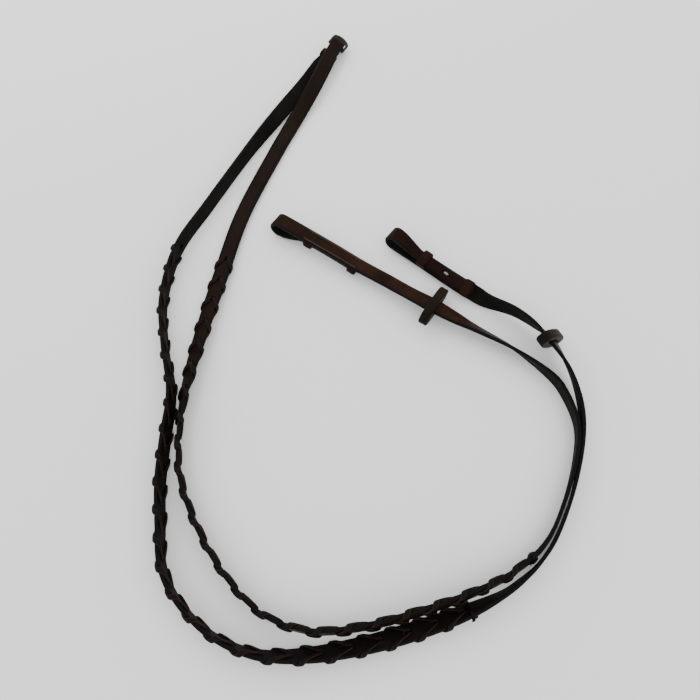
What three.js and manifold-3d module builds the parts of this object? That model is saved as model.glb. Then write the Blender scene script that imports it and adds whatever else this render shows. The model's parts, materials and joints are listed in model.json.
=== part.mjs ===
// A pair of English laced leather reins, laid out on a flat surface in a loose heart shape.
// Two leather halves are joined by a small buckle. Each half runs: buckle end, plain strap,
// hand part laced with two thongs in Vs, plain strap, sliding rein stop, and a hook-stud bit end
// where the strap is folded back into a loop for the bit ring.
// Millimetres, +Z up, standing on z = 0 with the middle of the outline at the origin.

import * as THREE from "three";
import { mergeVertices } from "three/addons/utils/BufferGeometryUtils.js";
import Module from "manifold-3d";

const wasm = await Module();
wasm.setup();

// ---------------------------------------------------------------- driving dimensions

const GAP = 0.3; // clearance between two pieces that touch in the real reins
const CENTRE = new THREE.Vector3(12.85, 62.25, -0.78); // middle of the outline, moved to the origin

const STRAP_WIDTH = 16;
const STRAP_THICKNESS = 3.2;
const STRAP_BEVEL = 0.7;
const STEPS_PER_SPAN = 4; // strap stations between two points of a route

const LACE_WIDTH = 4.8; // measured along the strap
const LACE_THICKNESS = 1.1;
const LACE_PITCH = 22.95; // distance from one V to the next along the strap
const LACE_RISE = 9; // along the strap, from the centre slot to the edge on the grain side
const SLOT_LENGTH = 7;
const SLOT_WIDTH = 5.8;
const TIE_LENGTH = 5; // the wrap that ends the lacing, along the strap

const STOP = { across: 48, height: 19.5, along: 8.5, slotAcross: 17.4, slotHeight: 5.4 };

const HEEL_BAR_HEIGHT = 9.2; // of the buckle's heel bar above the surface
const HEEL_BAR_RADIUS = 1.6;
const CHAPE_RADIUS = 3.1; // strap centre line folded round the heel bar
const TIP_FOLD_RADIUS = 5.7; // centre line of the other half's tip, folded round the chape
const BUCKLE_STRAP_WIDTH = 13.4; // both straps narrow where they pass the buckle

const LOOP_RADIUS = 6.9; // centre line of the bit loop
const BILLET_WIDTH = 11.4;
const BILLET_THICKNESS = 2.6;
const LINING = { width: 13.6, thickness: 2, from: 37, to: 99.5 }; // measured from the loop's end
const KEEPER_STATIONS = [43.6, 94.5];
const STUD_STATION = 69;
const KEEPER = { length: 8, ply: 1.2 };
const TIP_STATION = 101; // the folded strap's point, just past the second keeper

// ---------------------------------------------------------------- routes
// Each row: x, y, height of the strap's centre line, and roll in degrees.
// Roll 0 lays the grain side up, -180 lays the flesh side up and -90 stands the strap on its edge
// with the grain side facing out of the heart.

const BUCKLE_REIN_ROUTE = [
  [-35, 348.5, 7, -160],
  [-51.5, 319.5, 6.2, -158],
  [-72, 285.5, 7, -146],
  [-105, 229, 8.3, -108],
  [-143, 157, 8.6, -103],
  [-169, 104, 9.3, -101],
  [-177, 49, 9.5, -98],
  [-170.5, 1, 9.7, -96],
  [-159.5, -45, 10, -102],
  [-160, -89, 10, -107],
  [-160, -125, 10, -105],
  [-156, -160, 10, -101],
  [-151, -192, 10, -96],
  [-136, -218, 10, -94],
  [-108, -242.5, 10, -97],
  [-72, -256.5, 10, -108],
  [-31, -257, 9.8, -129],
  [15, -249.5, 9, -142],
  [54, -239, 9, -146],
  [90, -227, 9.8, -130],
  [120, -214, 9.8, -102],
  [138, -202.5, 9.2, -92],
  [154.5, -188.5, 8.6, -82],
  [171, -167, 8.1, -77],
  [189.5, -129, 7.9, -77],
  [202, -88, 8, -81],
  [204, -56, 10, -82],
  [196.5, -25, 16, -70],
  [181.5, 2.5, 20.5, -51],
  [171.5, 17.5, 16.5, -74],
  [154, 34.5, 12, -90],
  [131, 47, 8.3, -113],
  [118, 57.2, 6.4, -150],
  [101.5, 70, 5.2, -165],
  [70, 95, 5, -176],
  [38.5, 118.7, 5, -187],
];

const POINT_REIN_ROUTE = [
  [-27.5, 342, 13.4, 21],
  [-39.5, 312.5, 11, 19],
  [-56, 279.3, 5, 14],
  [-79.5, 227.5, 2.4, 3],
  [-109.5, 149, 2.5, -4],
  [-125, 81, 4.5, -10],
  [-136.5, 25, 6.5, -25],
  [-144, -19, 9, -42],
  [-148.1, -54, 11, -62],
  [-148.1, -89, 12, -75],
  [-143, -123, 11, -84],
  [-125, -163, 10, -87],
  [-99.5, -200, 10, -87],
  [-69, -228, 10.5, -86],
  [-31, -240.5, 13, -82],
  [10, -237.5, 15, -78],
  [50, -228, 16, -76],
  [93, -214.4, 15.4, -76],
  [130.5, -197.5, 11.5, -80],
  [160, -174, 9, -78],
  [179, -142, 8, -78],
  [193.3, -106, 8, -82],
  [199, -75, 8.1, -84],
  [192, -46, 8.1, -88],
  [180.5, -27.5, 8.1, -86],
  [151, -2.5, 8.7, -64],
  [116, 18, 10, -46],
  [98, 28, 11.6, -26],
  [78, 40.5, 12, -12],
  [57, 53.5, 11.5, -18],
  [36, 67.5, 10.5, -16],
  [10, 84, 10, -14],
  [-20, 103, 12.5, -11],
  [-75, 137.2, 16.1, -7],
];

const HEEL_BAR = new THREE.Vector3(-14.7, 377, HEEL_BAR_HEIGHT);
const UP = new THREE.Vector3(0, 0, 1);
const BUCKLE_HEADING = new THREE.Vector3(0.54, 0.84, 0).normalize(); // out past the outer bar
const BUCKLE_TILT = THREE.MathUtils.degToRad(20); // its left side lies higher than its right
const BUCKLE_UP = UP.clone().applyAxisAngle(BUCKLE_HEADING, BUCKLE_TILT);
const BUCKLE_ACROSS = BUCKLE_UP.clone().cross(BUCKLE_HEADING);

const LACING = {
  buckleRein: { start: 333.5, turns: 25 },
  pointRein: { start: 345.5, turns: 25 },
};
const STOP_STATION = { buckleRein: 1194, pointRein: 1226.5 };

// ---------------------------------------------------------------- strap paths

// A station is one cross-section of a strap: its centre p, the direction along, the direction
// across the strap, the direction out of the grain side, and how wide and thick it is there.
function station(p, along, across, width = STRAP_WIDTH, thickness = STRAP_THICKNESS) {
  const grain = along.clone().cross(across).normalize();
  return { p, along, across, grain, width, thickness, s: 0 };
}

function mix(a, b, t) {
  return a + (b - a) * t;
}

// A smooth curve through the rows of a route, all four columns at once.
function spline(rows, steps) {
  const first = rows[0].map((v, k) => 2 * v - rows[1][k]);
  const last = rows.at(-1).map((v, k) => 2 * v - rows.at(-2)[k]);
  const all = [first, ...rows, last];
  const out = [];
  for (let i = 1; i < all.length - 2; i++) {
    for (let j = 0; j < steps; j++) {
      const t = j / steps;
      out.push(
        rows[0].map((_, k) => {
          const [a, b, c, d] = [all[i - 1][k], all[i][k], all[i + 1][k], all[i + 2][k]];
          return (
            0.5 *
            (2 * b + (c - a) * t + (2 * a - 5 * b + 4 * c - d) * t * t + (3 * b - a - 3 * c + d) * t ** 3)
          );
        }),
      );
    }
  }
  out.push(rows.at(-1));
  return out;
}

function routeStations(rows, steps) {
  const curve = spline(rows, steps);
  const points = curve.map(([x, y, z]) => new THREE.Vector3(x, y, z).sub(CENTRE));
  return points.map((p, i) => {
    const before = points[Math.max(i - 1, 0)];
    const after = points[Math.min(i + 1, points.length - 1)];
    const along = after.clone().sub(before).normalize();
    const left = UP.clone().cross(along).normalize();
    const above = along.clone().cross(left);
    const roll = THREE.MathUtils.degToRad(curve[i][3]);
    const across = left.multiplyScalar(Math.cos(roll)).addScaledVector(above, -Math.sin(roll));
    return station(p, along, across);
  });
}

// Stations of a fold in one plane: rows of distance out, distance up, width and thickness.
function foldStations(origin, out, up, across, rows) {
  const points = rows.map(([u, v]) => origin.clone().addScaledVector(out, u).addScaledVector(up, v));
  return points.map((p, i) => {
    const before = points[Math.max(i - 1, 0)];
    const after = points[Math.min(i + 1, points.length - 1)];
    const along = after.clone().sub(before).normalize();
    return station(p, along, across, rows[i][2], rows[i][3]);
  });
}

function arcRows(radius, fromDegrees, toDegrees, count, width, thickness) {
  return Array.from({ length: count + 1 }, (_, i) => {
    const angle = THREE.MathUtils.degToRad(mix(fromDegrees, toDegrees, i / count));
    return [radius * Math.cos(angle), radius * Math.sin(angle), width, thickness];
  });
}

function measure(stations) {
  for (let i = 1; i < stations.length; i++) {
    stations[i].s = stations[i - 1].s + stations[i].p.distanceTo(stations[i - 1].p);
  }
  return stations;
}

// The frame of a strap at any distance s from its first station.
function at(stations, s) {
  let i = 1;
  while (i < stations.length - 1 && stations[i].s < s) i++;
  const [a, b] = [stations[i - 1], stations[i]];
  const t = (s - a.s) / (b.s - a.s);
  const along = a.along.clone().lerp(b.along, t).normalize();
  const across = a.across.clone().lerp(b.across, t);
  across.addScaledVector(along, -across.dot(along)).normalize();
  const frame = station(a.p.clone().lerp(b.p, t), along, across);
  frame.s = s;
  return frame;
}

function pointIn(frame, along, across, grain) {
  return frame.p
    .clone()
    .addScaledVector(frame.along, along)
    .addScaledVector(frame.across, across)
    .addScaledVector(frame.grain, grain);
}

// The bit end, folded back on the flesh side. Distances run back from the loop's end.
const LOOP_CENTRE = LOOP_RADIUS + 1.4;
const LINING_LEVEL = STRAP_THICKNESS / 2 + GAP + 0.1 + LINING.thickness / 2;
const BIT_END_STEP = 3.5; // between two sections of a piece that follows the strap's bit end
const BILLET_LEVEL = LINING_LEVEL + LINING.thickness / 2 + GAP + BILLET_THICKNESS / 2;

// Rows of the folded strap: distance back, level below the strap's centre line, width, thickness.
function billetRows() {
  const rows = [
    [15, 13.1, 15.4, 2.7],
    [22, 11.2, 14, 2.6],
    [29, 8.4, 12.6, 2.6],
    [35, 6.2, BILLET_WIDTH, BILLET_THICKNESS],
  ];
  for (let back = 41; back < TIP_STATION - 3; back += BIT_END_STEP) {
    rows.push([back, BILLET_LEVEL, BILLET_WIDTH, BILLET_THICKNESS]);
  }
  rows.push([TIP_STATION - 3, BILLET_LEVEL, BILLET_WIDTH - 1, BILLET_THICKNESS]);
  rows.push([TIP_STATION, BILLET_LEVEL, 6, 2.2]);
  return rows;
}

function bitEnd(main) {
  const length = main.at(-1).s;
  const start = at(main, length - LOOP_CENTRE);
  const centre = pointIn(start, 0, 0, -LOOP_RADIUS);
  const rows = arcRows(LOOP_RADIUS, -90, 90, 8, STRAP_WIDTH, 2.8);
  const turn = foldStations(centre, start.along, start.grain.clone().negate(), start.across, rows);
  const billet = billetRows().map(([back, level, width, thickness]) => {
    const frame = at(main, length - back);
    return station(pointIn(frame, 0, 0, -level), frame.along.negate(), frame.across, width, thickness);
  });
  return [...turn, ...billet];
}

// The straps start at their loose ends in the buckle. The chape is the end of the buckle rein,
// folded round the heel bar and laid back over its own flesh side.
function chape() {
  const rows = [
    [-13, 1.5, 12.6, 1.8],
    [-7, 2, BUCKLE_STRAP_WIDTH, 2],
    ...arcRows(CHAPE_RADIUS, 90, -90, 8, BUCKLE_STRAP_WIDTH, 2.2),
    [-7, -2, BUCKLE_STRAP_WIDTH, 2.2],
    [-14, -1.6, BUCKLE_STRAP_WIDTH, 2.4],
    [-22, -1.4, 14.6, 2.6],
  ];
  const origin = HEEL_BAR.clone().sub(CENTRE);
  return foldStations(origin, BUCKLE_HEADING, BUCKLE_UP, BUCKLE_ACROSS, rows);
}

// The point rein's tip lies under the buckle rein, comes round the fold of the chape and
// runs back on top.
function tipFold() {
  const rows = [
    [-24, -4.1, 6, 1.8],
    [-21, -4.1, 12.6, 2.2],
    [-13, -4.3, BUCKLE_STRAP_WIDTH, 2.2],
    [-6, -5.2, BUCKLE_STRAP_WIDTH, 2.2],
    ...arcRows(TIP_FOLD_RADIUS, -90, 90, 10, BUCKLE_STRAP_WIDTH, 2.2),
    [-7, 5.6, 14.2, 2.5],
  ];
  const origin = HEEL_BAR.clone().sub(CENTRE);
  return foldStations(origin, BUCKLE_HEADING, BUCKLE_UP, BUCKLE_ACROSS.clone().negate(), rows);
}

// The path runs from the buckle end to the folded strap's point, by way of the bit loop.
function strapPath(buckleEnd, route) {
  const main = measure([...buckleEnd, ...routeStations(route, STEPS_PER_SPAN)]);
  const length = main.at(-1).s;
  const straight = main.filter(({ s }) => s < length - LOOP_CENTRE - 4);
  const path = measure([...straight, ...bitEnd(main)]);
  path.loopEnd = length;
  return path;
}

const buckleReinPath = strapPath(chape(), BUCKLE_REIN_ROUTE);
const pointReinPath = strapPath(tipFold(), POINT_REIN_ROUTE);

// ---------------------------------------------------------------- solids

function merged(geometry) {
  geometry.deleteAttribute("normal");
  geometry.deleteAttribute("uv");
  return mergeVertices(geometry, 1e-4);
}

function toSolid(geometry) {
  const closed = merged(geometry);
  return new wasm.Manifold(
    new wasm.Mesh({
      numProp: 3,
      vertProperties: new Float32Array(closed.attributes.position.array),
      triVerts: new Uint32Array(closed.index.array),
    }),
  );
}

function toGeometry(solid) {
  const mesh = solid.getMesh();
  const geometry = new THREE.BufferGeometry();
  geometry.setAttribute("position", new THREE.BufferAttribute(new Float32Array(mesh.vertProperties), 3));
  geometry.setIndex(new THREE.BufferAttribute(new Uint32Array(mesh.triVerts), 1));
  return geometry;
}

// A cross-section extruded through the stations of a path: the shape is drawn one unit wide and
// one unit thick, and every layer of the extrusion is carried to its station.
function sweep(shape, stations) {
  const layers = stations.length - 1;
  const geometry = new THREE.ExtrudeGeometry(shape, { depth: layers, steps: layers, bevelEnabled: false });
  const position = geometry.attributes.position;
  for (let i = 0; i < position.count; i++) {
    const layer = stations[Math.round(position.getZ(i))];
    const p = pointIn(layer, 0, position.getX(i) * layer.width, position.getY(i) * layer.thickness);
    position.setXYZ(i, p.x, p.y, p.z);
  }
  return geometry;
}

function rectangleShape(width, height, corner = 0) {
  const [x, y] = [width / 2, height / 2];
  const shape = new THREE.Shape();
  shape.moveTo(-x + corner, -y);
  shape.lineTo(x - corner, -y);
  if (corner) shape.lineTo(x, -y + corner);
  shape.lineTo(x, y - corner);
  if (corner) shape.lineTo(x - corner, y);
  shape.lineTo(-x + corner, y);
  if (corner) shape.lineTo(-x, y - corner);
  shape.lineTo(-x, -y + corner);
  shape.closePath();
  return shape;
}

// One unit wide and thick, with its four long edges bevelled.
function strapShape() {
  const [bx, by] = [STRAP_BEVEL / STRAP_WIDTH, STRAP_BEVEL / STRAP_THICKNESS];
  const corners = [
    [-0.5 + bx, -0.5],
    [0.5 - bx, -0.5],
    [0.5, -0.5 + by],
    [0.5, 0.5 - by],
    [0.5 - bx, 0.5],
    [-0.5 + bx, 0.5],
    [-0.5, 0.5 - by],
    [-0.5, -0.5 + by],
  ];
  return new THREE.Shape(corners.map(([x, y]) => new THREE.Vector2(x, y)));
}

// A geometry drawn with x across, y out of the grain side and z along, carried to a frame.
function place(geometry, frame, along = 0, across = 0, grain = 0) {
  const basis = new THREE.Matrix4().makeBasis(frame.across, frame.grain, frame.along);
  basis.setPosition(pointIn(frame, along, across, grain));
  return geometry.applyMatrix4(basis);
}

function box(across, thick, along) {
  return new THREE.BoxGeometry(across, thick, along);
}

function cylinderAlongGrain(radius, height, sides = 12) {
  return new THREE.CylinderGeometry(radius, radius, height, sides);
}

// ---------------------------------------------------------------- lacing

// One thong winds round its half of the strap. On each turn it comes up through a centre slot,
// crosses the grain side to the edge, wraps round it and crosses the flesh side to the next slot.
// Rows: distance along the strap, across it, out of its grain side, and the thong's width.
function laceTurn() {
  const level = STRAP_THICKNESS / 2 + GAP + LACE_THICKNESS / 2 + 0.2;
  const edge = STRAP_WIDTH / 2 + 0.9;
  const corner = STRAP_WIDTH / 2 + 0.4;
  return [
    [0, 0.95, 0, LACE_WIDTH],
    [1.1, 2.3, level, LACE_WIDTH],
    [LACE_RISE - 1.2, corner, level, LACE_WIDTH],
    [LACE_RISE, edge, 0, LACE_WIDTH],
    [LACE_RISE + 1.4, corner, -level, LACE_WIDTH + 1.4],
    [LACE_PITCH - 1.1, 2.3, -level, LACE_WIDTH],
  ];
}

// The thong's width lies along the strap all the way round, so that it never twists.
function lacePath(path, { start, turns }, side) {
  const rows = [];
  for (let turn = 0; turn < turns; turn++) {
    for (const [s, across, grain, width] of laceTurn()) {
      rows.push([start + turn * LACE_PITCH + s, side * across, grain, width]);
    }
  }
  rows.push([start + turns * LACE_PITCH, side * 0.95, 0, LACE_WIDTH]); // into the last slot
  return rows.map(([s, across, grain, width], i) => {
    const frame = at(path, s);
    const before = rows[Math.max(i - 1, 0)];
    const after = rows[Math.min(i + 1, rows.length - 1)];
    const round = new THREE.Vector3()
      .addScaledVector(frame.across, after[1] - before[1])
      .addScaledVector(frame.grain, after[2] - before[2])
      .normalize();
    return station(pointIn(frame, 0, across, grain), round, frame.along, width, LACE_THICKNESS);
  });
}

function lace(path, lacing, side) {
  return sweep(rectangleShape(1, 1), lacePath(path, lacing, side));
}

function tieStation({ start, turns }) {
  return start + turns * LACE_PITCH + SLOT_LENGTH / 2 + TIE_LENGTH / 2 + 1.5;
}

// The end of a thong wound once round the strap, its tail left sticking out beside the edge.
function laceTie(path, lacing) {
  const frame = at(path, tieStation(lacing));
  const outer = rectangleShape(STRAP_WIDTH + 3.2, STRAP_THICKNESS + 3.2, 1);
  outer.holes.push(rectangleShape(STRAP_WIDTH + 2 * GAP, STRAP_THICKNESS + 2 * GAP));
  const band = new THREE.ExtrudeGeometry(outer, { depth: TIE_LENGTH, bevelEnabled: false });
  const tag = place(box(3.2, 1.4, 3.4), frame, 0.4, STRAP_WIDTH / 2 + 2.6, 1.2);
  return toSolid(place(band, frame, -TIE_LENGTH / 2)).add(toSolid(tag));
}

// ---------------------------------------------------------------- bit end pieces

// The frame on the main strap, a distance back from the loop's end.
function bitFrame(path, back) {
  return at(path, path.loopEnd - back);
}

// The short strap stitched behind the main one, thinned at both ends.
function liningStrap(path) {
  const rows = [
    [LINING.to, 9, 1.2],
    [LINING.to - 5, LINING.width, LINING.thickness],
  ];
  for (let back = LINING.to - 5 - BIT_END_STEP; back > LINING.from + 4; back -= BIT_END_STEP) {
    rows.push([back, LINING.width, LINING.thickness]);
  }
  rows.push([LINING.from + 4, LINING.width, LINING.thickness]);
  rows.push([LINING.from, 11, 1.4]);
  const stations = rows.map(([back, width, thickness]) => {
    const frame = bitFrame(path, back);
    return station(pointIn(frame, 0, 0, -LINING_LEVEL), frame.along, frame.across, width, thickness);
  });
  const hole = place(cylinderAlongGrain(2, 4), bitFrame(path, STUD_STATION), 0, 0, -LINING_LEVEL);
  return toSolid(sweep(rectangleShape(1, 1), stations)).subtract(toSolid(hole));
}

// A leather loop round the lining and the folded strap, let into the main strap's flesh side.
function keeper(path, back) {
  const frame = bitFrame(path, back);
  const top = BILLET_LEVEL + BILLET_THICKNESS / 2 + GAP;
  const bottom = STRAP_THICKNESS / 2;
  const innerWidth = LINING.width + 3 * GAP;
  const inner = rectangleShape(innerWidth, top - bottom);
  const outerHeight = top - bottom + KEEPER.ply + 0.9;
  const outer = rectangleShape(innerWidth + 2 * KEEPER.ply, outerHeight, 0.6);
  const innerLevel = -(top + bottom) / 2;
  const outerLevel = -(top + KEEPER.ply + bottom - 0.9) / 2;
  const band = new THREE.ExtrudeGeometry(outer, { depth: KEEPER.length, bevelEnabled: false });
  const space = new THREE.ExtrudeGeometry(inner, { depth: KEEPER.length + 2, bevelEnabled: false });
  const solid = toSolid(place(band, frame, -KEEPER.length / 2, 0, outerLevel));
  return solid.subtract(toSolid(place(space, frame, -KEEPER.length / 2 - 1, 0, innerLevel)));
}

// A metal stud: a base plate let into the strap, a post and a long head hooked toward the point.
function hookStud(path) {
  const frame = bitFrame(path, STUD_STATION);
  const headLevel = -(BILLET_LEVEL + BILLET_THICKNESS / 2 + GAP + 0.8);
  const plate = toSolid(place(cylinderAlongGrain(3.6, 0.8, 16), frame, 0, 0, -1.1));
  const postLength = -headLevel - 1;
  const post = toSolid(place(cylinderAlongGrain(1.4, postLength), frame, 0, 0, -1 - postLength / 2));
  const head = new THREE.CapsuleGeometry(1.3, 6, 3, 10).rotateX(Math.PI / 2);
  head.scale(1, 0.65, 1);
  return plate.add(post).add(toSolid(place(head, frame, -1.2, 0, headLevel)));
}

// A row of stitches: one thread lying on the grain side, thick at each stitch and thin between.
function stitchRow(path, from, to, side) {
  const pitch = 2.8;
  const count = Math.round((from - to) / pitch);
  const stations = [];
  for (let k = 0; k <= count * 2; k++) {
    const frame = bitFrame(path, from - (k * pitch) / 2);
    const thick = k % 2 ? 0.9 : 0.4;
    const p = pointIn(frame, 0, side * 5.9, STRAP_THICKNESS / 2 + GAP + 0.45);
    stations.push(station(p, frame.along, frame.across, thick, thick));
  }
  return sweep(rectangleShape(1, 1), stations);
}

function bitEndCuts(path) {
  const cuts = KEEPER_STATIONS.map((back) => {
    const channel = box(STRAP_WIDTH + 4, 2, KEEPER.length + 0.6);
    return place(channel, bitFrame(path, back), 0, 0, -(STRAP_THICKNESS / 2 - 1.2 + 1));
  });
  const stud = bitFrame(path, STUD_STATION);
  cuts.push(place(cylinderAlongGrain(4, 2, 16), stud, 0, 0, -(STRAP_THICKNESS / 2 - 1.2 + 1)));
  cuts.push(place(box(3.6, 4, 5), stud, 0, 0, -BILLET_LEVEL));
  return cuts;
}

// ---------------------------------------------------------------- rein stop

// A thick lens of leather with a slot across it, for the strap to slide through.
function reinStop(path, s) {
  const frame = at(path, s);
  const [x, y] = [STOP.across / 2, STOP.height / 2];
  const outline = new THREE.Shape();
  outline.moveTo(-x + 1.5, -y * 0.42);
  outline.quadraticCurveTo(0, -y * 1.62, x - 1.5, -y * 0.42);
  outline.quadraticCurveTo(x + 1.5, 0, x - 1.5, y * 0.42);
  outline.quadraticCurveTo(0, y * 1.62, -x + 1.5, y * 0.42);
  outline.quadraticCurveTo(-x - 1.5, 0, -x + 1.5, -y * 0.42);
  const bevel = 1.6;
  const body = new THREE.ExtrudeGeometry(outline, {
    depth: STOP.along - 2 * bevel,
    curveSegments: 8,
    bevelThickness: bevel,
    bevelSize: bevel * 0.7,
    bevelOffset: -bevel * 0.7,
    bevelSegments: 1,
  });
  const slot = box(STOP.slotAcross, STOP.slotHeight, STOP.along + 2);
  const solid = toSolid(place(body, frame, -STOP.along / 2 + bevel));
  return solid.subtract(toSolid(place(slot, frame)));
}

// ---------------------------------------------------------------- buckle

const TONGUE_WIDTH = 2.4;
const BUCKLE = { inner: 15.4, side: 2.5, heel: 3.8, reach: 12.8, bar: 3.6, thickness: 3 };

function buckleStation() {
  const origin = HEEL_BAR.clone().sub(CENTRE);
  return station(origin, BUCKLE_HEADING, BUCKLE_ACROSS);
}

// A stirrup-shaped frame: a round heel bar, two sides and an arched outer bar.
function buckleFrame() {
  const frame = buckleStation();
  const outerX = BUCKLE.inner / 2 + BUCKLE.side;
  const innerX = BUCKLE.inner / 2;
  const shape = new THREE.Shape();
  shape.moveTo(-outerX, -BUCKLE.heel);
  shape.lineTo(-innerX, -BUCKLE.heel);
  shape.lineTo(-innerX, BUCKLE.reach - 5);
  shape.quadraticCurveTo(0, BUCKLE.reach - BUCKLE.bar + 0.9, innerX, BUCKLE.reach - 5);
  shape.lineTo(innerX, -BUCKLE.heel);
  shape.lineTo(outerX, -BUCKLE.heel);
  shape.lineTo(outerX, BUCKLE.reach - 4.6);
  shape.quadraticCurveTo(0, BUCKLE.reach + 4, -outerX, BUCKLE.reach - 4.6);
  shape.closePath();
  const arch = new THREE.ExtrudeGeometry(shape, {
    depth: BUCKLE.thickness - 1,
    curveSegments: 8,
    bevelThickness: 0.5,
    bevelSize: 0.5,
    bevelOffset: -0.5,
    bevelSegments: 1,
  });
  arch.translate(0, 0, -(BUCKLE.thickness - 1) / 2);
  arch.rotateX(Math.PI / 2); // drawn in x, y: now x across, z along, y through
  const bar = new THREE.CylinderGeometry(HEEL_BAR_RADIUS, HEEL_BAR_RADIUS, BUCKLE.inner + 2, 12);
  bar.rotateZ(Math.PI / 2);
  return toSolid(place(arch, frame)).add(toSolid(place(bar, frame)));
}

// The tongue: an eye round the heel bar and a pin that reaches under the outer bar.
function buckleTongue() {
  const frame = buckleStation();
  const eyeRadius = HEEL_BAR_RADIUS + GAP + 0.9;
  const side = new THREE.Shape();
  side.absarc(0, 0, eyeRadius, -Math.PI / 12, Math.PI * 1.58, false);
  side.lineTo(4.5, -3.1);
  side.lineTo(9.5, -3.9);
  side.lineTo(13.6, -3.6);
  side.lineTo(13.6, -2.3);
  side.lineTo(10, -2.2);
  side.lineTo(5, -1.6);
  side.closePath();
  side.holes.push(new THREE.Path().absarc(0, 0, HEEL_BAR_RADIUS + GAP, 0, Math.PI * 2, true));
  const tongue = new THREE.ExtrudeGeometry(side, {
    depth: TONGUE_WIDTH,
    curveSegments: 10,
    bevelEnabled: false,
  });
  tongue.translate(0, 0, -TONGUE_WIDTH / 2); // drawn as along, up; extruded across
  const basis = new THREE.Matrix4().makeBasis(BUCKLE_HEADING, BUCKLE_UP, BUCKLE_ACROSS.clone().negate());
  return tongue.applyMatrix4(basis.setPosition(frame.p));
}

// The leather keeper that holds the point rein's tip against the buckle rein.
function buckleKeeper() {
  const frame = at(buckleReinPath, keeperStation());
  const strapHalf = 2.1;
  const low = 4.6;
  const inner = rectangleShape(STRAP_WIDTH + 1, strapHalf + low);
  const outer = rectangleShape(STRAP_WIDTH + 3.2, strapHalf + low + 2.2, 0.6);
  const centre = (low - strapHalf) / 2;
  const band = new THREE.ExtrudeGeometry(outer, { depth: 8, bevelEnabled: false });
  const space = new THREE.ExtrudeGeometry(inner, { depth: 10, bevelEnabled: false });
  const solid = toSolid(place(band, frame, -4, 0, centre));
  return solid.subtract(toSolid(place(space, frame, -5, 0, centre)));
}

function keeperStation() {
  return measure(chape()).at(-1).s - 4.5;
}

// ---------------------------------------------------------------- straps with their cuts

function laceSlots(path, { start, turns }) {
  const slots = [];
  for (let turn = 0; turn <= turns; turn++) {
    const slot = box(SLOT_WIDTH, STRAP_THICKNESS + 2, SLOT_LENGTH);
    slots.push(place(slot, at(path, start + turn * LACE_PITCH)));
  }
  return slots;
}

function cutAll(solid, cutters) {
  return cutters.reduce((rest, cutter) => rest.subtract(toSolid(cutter)), solid);
}

function buckleReinStrap() {
  const frame = buckleStation();
  const tongueSlot = box(3.6, 9, 11);
  const cuts = [
    ...laceSlots(buckleReinPath, LACING.buckleRein),
    ...bitEndCuts(buckleReinPath),
    place(tongueSlot, frame, 1),
  ];
  return cutAll(toSolid(sweep(strapShape(), buckleReinPath)), cuts);
}

function pointReinStrap() {
  const frame = buckleStation();
  const tongueHole = box(3.6, 6, 7);
  const cuts = [
    ...laceSlots(pointReinPath, LACING.pointRein),
    ...bitEndCuts(pointReinPath),
    place(tongueHole, frame, TIP_FOLD_RADIUS - 1, 0, -3.2),
  ];
  return cutAll(toSolid(sweep(strapShape(), pointReinPath)), cuts);
}

// ---------------------------------------------------------------- materials and assembly

function leather(name, colour, roughness = 0.6) {
  return new THREE.MeshStandardMaterial({ name, color: colour, roughness, metalness: 0 });
}

function metal(name, colour) {
  return new THREE.MeshStandardMaterial({ name, color: colour, roughness: 0.3, metalness: 1 });
}

const reins = new THREE.Group();
reins.name = "leather_reins";

function addPiece(name, shape, material) {
  const geometry = shape.isBufferGeometry ? merged(shape) : toGeometry(shape);
  geometry.computeVertexNormals();
  const mesh = new THREE.Mesh(geometry, material);
  mesh.name = name;
  reins.add(mesh);
}

function addRein(prefix, path, lacing, stopStation, strap) {
  const stitchFrom = LINING.to - 3;
  const stitchTo = LINING.from + 2;
  const piece = (name) => `${prefix}_${name}`;
  addPiece(piece("strap"), strap, leather(piece("strap"), 0x2b1c15, 0.5));
  addPiece(piece("lace_left"), lace(path, lacing, 1), leather(piece("lace_left"), 0x3a2a22));
  addPiece(piece("lace_right"), lace(path, lacing, -1), leather(piece("lace_right"), 0x3a2a22));
  addPiece(piece("lace_tie"), laceTie(path, lacing), leather(piece("lace_tie"), 0x3a2a22));
  addPiece(piece("stop"), reinStop(path, stopStation), leather(piece("stop"), 0x26221a, 0.55));
  addPiece(piece("stud_lining"), liningStrap(path), leather(piece("stud_lining"), 0x241813));
  addPiece(piece("bit_keeper"), keeper(path, KEEPER_STATIONS[0]), leather(piece("bit_keeper"), 0x241813));
  addPiece(piece("tip_keeper"), keeper(path, KEEPER_STATIONS[1]), leather(piece("tip_keeper"), 0x241813));
  addPiece(piece("hook_stud"), hookStud(path), metal(piece("hook_stud"), 0xb8b8b4));
  for (const [name, side] of [["stitching_left", 1], ["stitching_right", -1]]) {
    const thread = stitchRow(path, stitchFrom, stitchTo, side);
    addPiece(piece(name), thread, leather(piece(name), 0x8a7a5c, 0.8));
  }
}

addRein("buckle_rein", buckleReinPath, LACING.buckleRein, STOP_STATION.buckleRein, buckleReinStrap());
addRein("point_rein", pointReinPath, LACING.pointRein, STOP_STATION.pointRein, pointReinStrap());
addPiece("buckle_frame", buckleFrame(), metal("buckle_frame", 0x4a4640));
addPiece("buckle_tongue", buckleTongue(), metal("buckle_tongue", 0x5a564e));
addPiece("buckle_keeper", buckleKeeper(), leather("buckle_keeper", 0x2b1c15));

export default reins;
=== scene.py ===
"""A pair of English laced leather reins on a pale surface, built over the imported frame.

Lengths are millimetres until a mesh is made. Each strap is a path of stations, and the lacing,
keepers, studs, stitching and stops are placed from distances along it.
"""

import json
import math

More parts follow.
